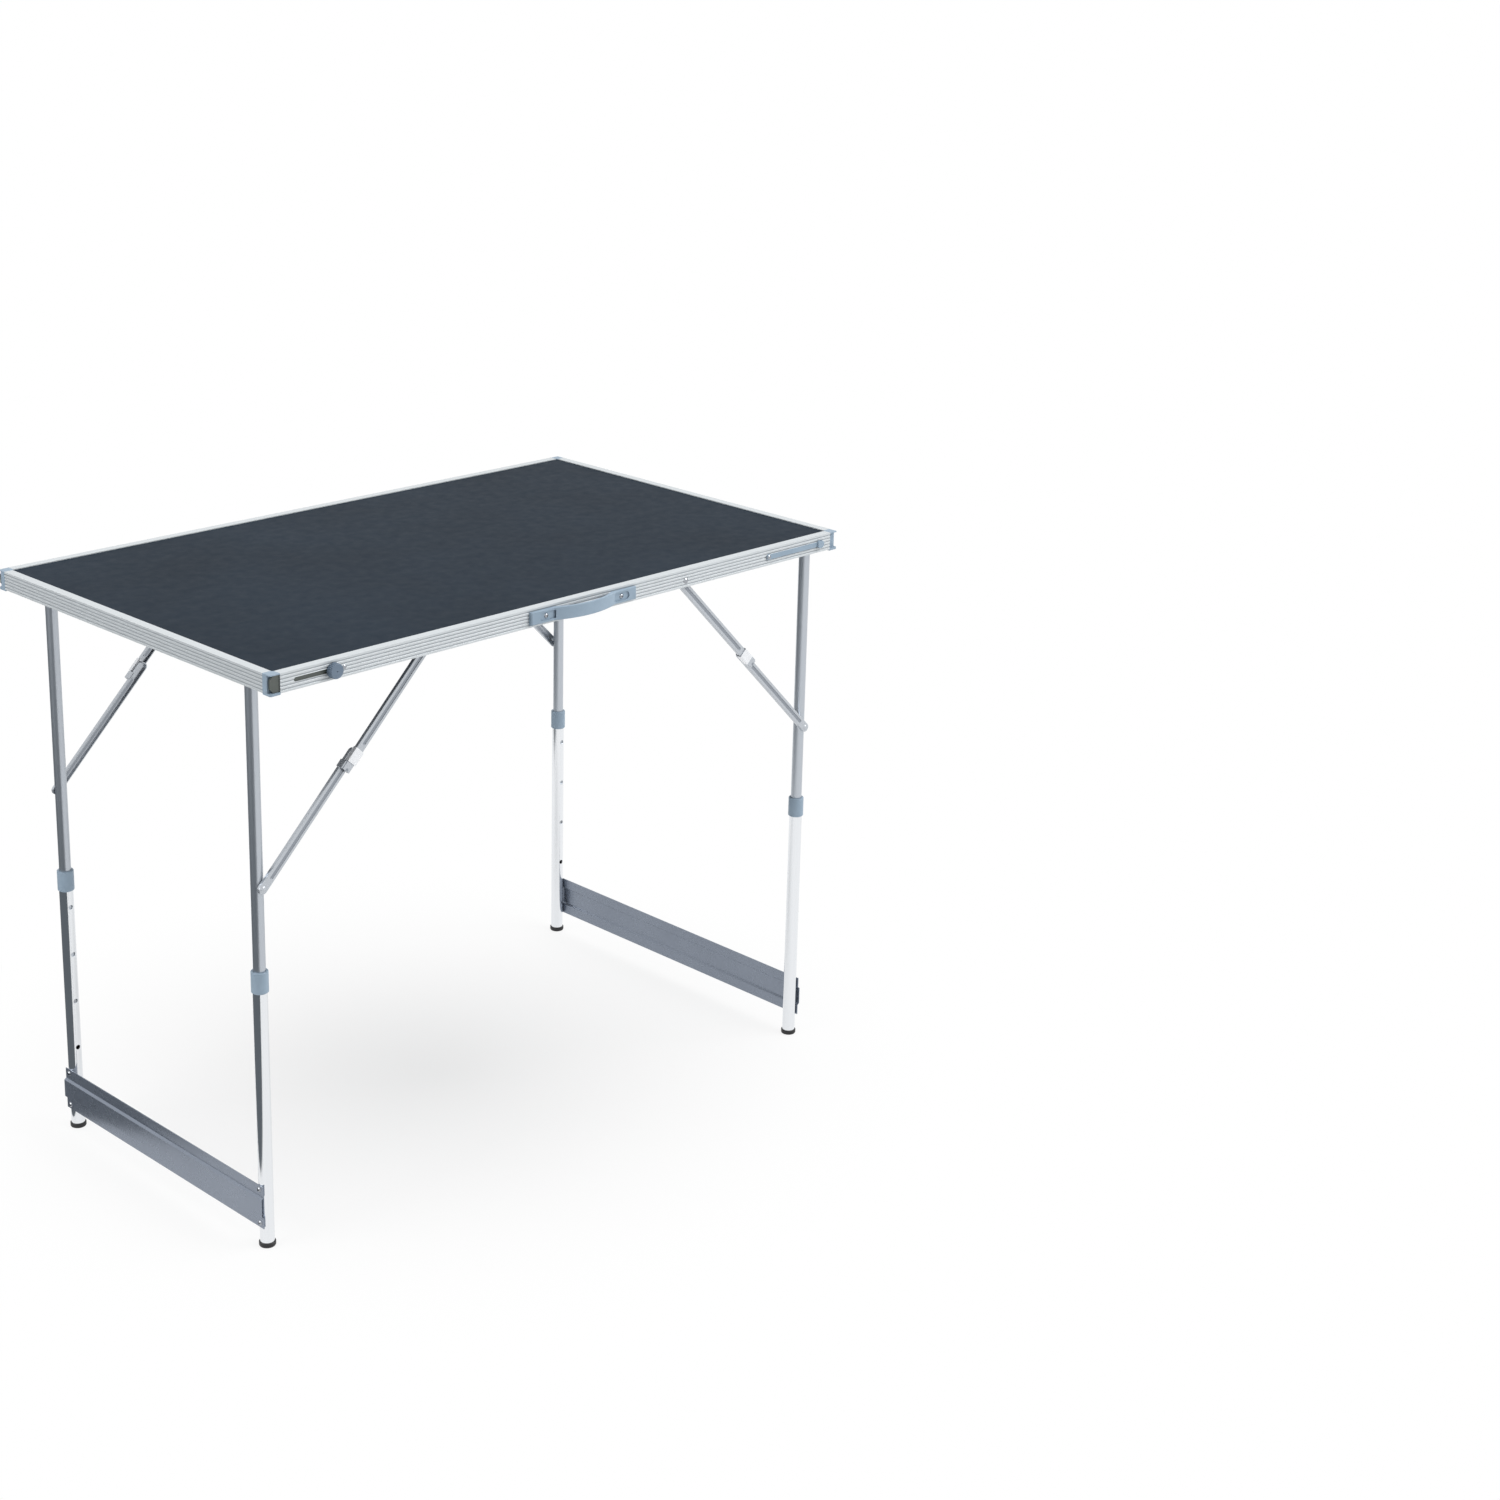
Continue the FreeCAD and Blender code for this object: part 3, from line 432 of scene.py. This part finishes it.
def add_floor():
    """Pale floor that keeps a faint shadow near the object and runs out to white."""
    bpy.ops.mesh.primitive_plane_add(size=FLOOR_SIZE, location=(0, 0, 0))
    floor = bpy.context.object
    floor.name = "floor"
    made = Shader("pale_floor", roughness=FLOOR_ROUGHNESS)
    made.set(Base_Color=FLOOR_COLOUR, Specular_IOR_Level=FLOOR_SPECULAR)
    fade = made.node("ShaderNodeMapRange", interpolation_type="SMOOTHSTEP")
    set_span(fade, FLOOR_FADE)
    made.link(made.vector_math("LENGTH", made.place), fade.inputs["Value"])
    share = made.math("MULTIPLY", seen_share(made.tree), fade.outputs["Result"])
    white = made.node("ShaderNodeEmission")
    mix = made.node("ShaderNodeMixShader")
    made.link(share, mix.inputs["Fac"])
    made.link(made.shader.outputs["BSDF"], mix.inputs[1])
    made.link(white.outputs["Emission"], mix.inputs[2])
    made.link(mix.outputs["Shader"], made.tree.nodes["Material Output"].inputs["Surface"])
    floor.data.materials.append(made.material)


def add_flag():
    """Dark cloth beside the object that only reflections show, for the dark streaks in bright metal."""
    along = Vector((-BRIGHT_SIDE.y, BRIGHT_SIDE.x, 0.0)) * FLAG_HALF
    out = -BRIGHT_SIDE * FLAG_HALF
    near = -BRIGHT_SIDE * FLAG_OFFSET
    corners = [near - along, near + along, near + along + out, near - along + out]
    mesh = bpy.data.meshes.new("flag")
    mesh.from_pydata([(c.x, c.y, FLAG_HEIGHT) for c in corners], [], [(0, 1, 2, 3)])
    flag = bpy.data.objects.new("flag", mesh)
    scene.collection.objects.link(flag)
    made = Shader("flag_cloth")
    made.set(Base_Color=BLACK, Specular_IOR_Level=0.0, Emission_Color=FLAG_GREY, Emission_Strength=1.0)
    mesh.materials.append(made.material)
    flag.visible_camera = False
    flag.visible_diffuse = False
    flag.visible_transmission = False
    flag.visible_shadow = False


def add_lamp(name, place, aim_height, size, power):
    """Square area lamp that points at the object's middle line."""
    data = bpy.data.lights.new(name, "AREA")
    data.shape = "SQUARE"
    data.size = size
    data.energy = power
    lamp = bpy.data.objects.new(name, data)
    scene.collection.objects.link(lamp)
    lamp.location = place
    aim = Vector((0, 0, aim_height)) - Vector(place)
    lamp.rotation_euler = aim.to_track_quat("-Z", "Y").to_euler()


def add_world():
    """Studio whose light is bright on one side and dim on the other, and which looks white."""
    world = bpy.data.worlds.new("studio")
    scene.world = world
    world.use_nodes = True
    tree = world.node_tree
    place = tree.nodes.new("ShaderNodeTexCoord")
    side = tree.nodes.new("ShaderNodeVectorMath")
    side.operation = "DOT_PRODUCT"
    side.inputs[1].default_value = BRIGHT_SIDE
    level = tree.nodes.new("ShaderNodeMapRange")
    level.interpolation_type = "SMOOTHSTEP"
    set_span(level, SKY_TURN, (SKY_DIM, SKY_BRIGHT))
    tree.links.new(place.outputs["Generated"], side.inputs[0])
    tree.links.new(side.outputs["Value"], level.inputs["Value"])
    strength = tree.nodes.new("ShaderNodeMath")
    strength.operation = "MAXIMUM"
    tree.links.new(level.outputs["Result"], strength.inputs[0])
    tree.links.new(seen_share(tree), strength.inputs[1])
    tree.links.new(strength.outputs["Value"], tree.nodes["Background"].inputs["Strength"])
    tree.nodes["Background"].inputs["Color"].default_value = WHITE


add_camera()
add_floor()
add_flag()
add_lamp("key_light", place=(1.6, -2.2, 3.0), aim_height=0.6, size=2.4, power=66)
add_lamp("top_light", place=(-0.6, 0.4, 3.4), aim_height=0.6, size=2.0, power=26)
add_lamp("fill_light", place=(-3.0, 0.6, 1.6), aim_height=0.5, size=2.0, power=36)
add_world()
dress_nodes()
